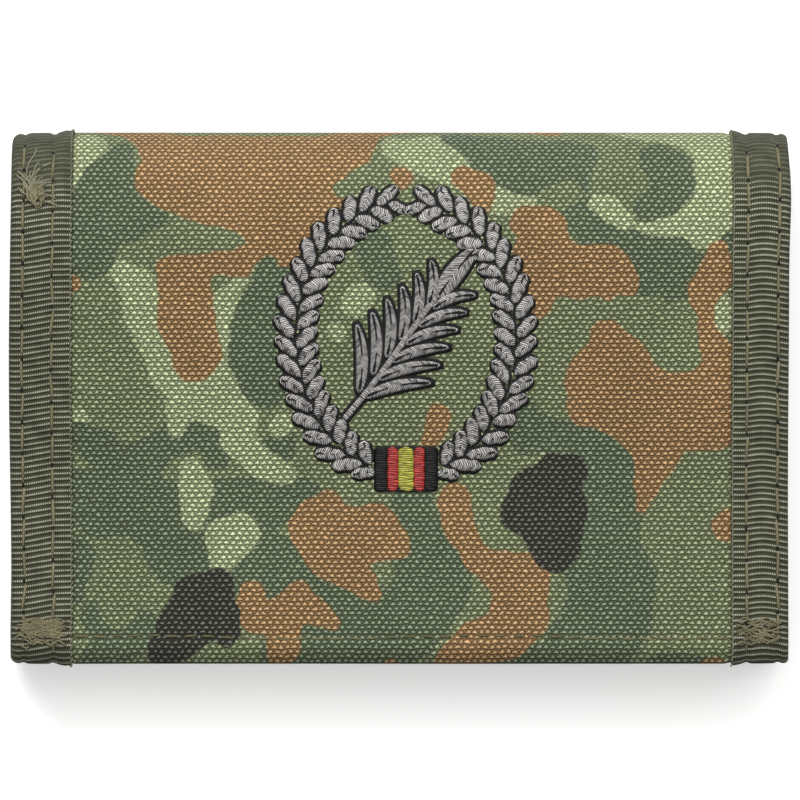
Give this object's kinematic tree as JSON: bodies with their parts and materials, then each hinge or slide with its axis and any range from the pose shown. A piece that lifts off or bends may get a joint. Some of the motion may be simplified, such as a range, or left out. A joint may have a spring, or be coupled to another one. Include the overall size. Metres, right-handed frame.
{
  "type": "trifold wallet",
  "caption": "Closed fabric trifold wallet with taped edges, camouflage cloth, an embroidered oval badge, hook-and-loop closure, card slots and a zipped coin pouch.",
  "frame": {"origin": "under the middle of the closed wallet, on the surface that its back lies on", "axes": "+X along the fold lines to the right, +Y from the bottom fold to the top fold, +Z out of the front flap"},
  "size_m": [0.13, 0.089, 0.02],
  "materials": {
    "camouflage_cloth": "polyester canvas with a printed pattern, matt",
    "lining_cloth": "nylon taffeta, matt",
    "binding_tape": "grosgrain polyester ribbon, matt",
    "sewing_thread": "twisted polyester thread",
    "grey_thread": "satin-stitched rayon embroidery, slight sheen",
    "ribbon_thread": "satin-stitched rayon embroidery in stripes",
    "zip_tape": "woven polyester zip tape",
    "zip_coil": "nylon coil",
    "zip_metal": "zinc die casting with dark plating",
    "painted_metal": "black paint, satin",
    "hook_tape": "nylon hook tape",
    "loop_tape": "nylon loop pile",
    "clear_film": "clear PVC film"
  },
  "bodies": {
    "back": {"back_shell": "camouflage_cloth", "back_divider": "lining_cloth", "back_tape_left": "binding_tape", "back_tape_right": "binding_tape", "back_divider_tape": "binding_tape", "card_slot_rear": "lining_cloth", "card_slot_middle": "lining_cloth", "card_slot_front": "lining_cloth", "card_slot_edging": "binding_tape", "back_seam_threads": "sewing_thread"},
    "top_fold": {"top_fold_shell": "camouflage_cloth", "top_fold_divider": "lining_cloth", "top_fold_tape_left": "binding_tape", "top_fold_tape_right": "binding_tape", "top_fold_divider_tape": "binding_tape"},
    "flap": {"flap_shell": "camouflage_cloth", "flap_divider": "lining_cloth", "flap_tape_left": "binding_tape", "flap_tape_right": "binding_tape", "flap_divider_tape": "binding_tape", "flap_seam_threads": "sewing_thread", "flap_hem_thread": "sewing_thread", "hook_strip": "hook_tape", "badge_ring": "grey_thread", "badge_sprig": "grey_thread", "badge_bar": "ribbon_thread", "coin_pouch": "lining_cloth", "coin_pouch_header": "lining_cloth", "zip_tape_lower": "zip_tape", "zip_tape_upper": "zip_tape", "zip_coil_lower": "zip_coil", "zip_coil_upper": "zip_coil", "zip_stops": "zip_metal"},
    "zip_slider": {"zip_slider": "zip_metal"},
    "zip_pull": {"zip_pull": "painted_metal"},
    "bottom_fold": {"bottom_fold_shell": "camouflage_cloth", "bottom_fold_divider": "lining_cloth", "bottom_fold_tape_left": "binding_tape", "bottom_fold_tape_right": "binding_tape", "bottom_fold_divider_tape": "binding_tape"},
    "leaf": {"leaf_shell": "camouflage_cloth", "leaf_divider": "lining_cloth", "leaf_tape_left": "binding_tape", "leaf_tape_right": "binding_tape", "leaf_divider_tape": "binding_tape", "loop_strip": "loop_tape", "id_window": "clear_film", "id_window_frame": "binding_tape", "leaf_hem_thread": "sewing_thread"}
  },
  "joints": [
    {"name": "top_fold_lower", "type": "hinge", "parent": "back", "child": "top_fold", "pos_m": [0, 0.04261, 0.00189], "axis": [-1, 0, 0], "range_deg": [0, 90]},
    {"name": "top_fold_upper", "type": "hinge", "parent": "top_fold", "child": "flap", "pos_m": [0, 0.04012, 0.01553], "axis": [-1, 0, 0], "range_deg": [0, 90]},
    {"name": "bottom_fold_lower", "type": "hinge", "parent": "back", "child": "bottom_fold", "pos_m": [0, -0.04171, 0.00149], "axis": [1, 0, 0], "range_deg": [0, 90]},
    {"name": "bottom_fold_upper", "type": "hinge", "parent": "bottom_fold", "child": "leaf", "pos_m": [0, -0.04171, 0.01111], "axis": [1, 0, 0], "range_deg": [0, 90]},
    {"name": "zip_slide", "type": "slide", "parent": "flap", "child": "zip_slider", "axis": [-1, 0, 0], "range_m": [0, 0.076]},
    {"name": "pull_hinge", "type": "hinge", "parent": "zip_slider", "child": "zip_pull", "pos_m": [0.038, 0.0273, 0.01303], "axis": [0, -0.9931, 0.117], "range_deg": [0, 180]}
  ],
  "couplings": [
    {"joint": "top_fold_upper", "follows": "top_fold_lower", "ratio": 1},
    {"joint": "bottom_fold_lower", "follows": "top_fold_lower", "ratio": 1},
    {"joint": "bottom_fold_upper", "follows": "top_fold_lower", "ratio": 1}
  ]
}
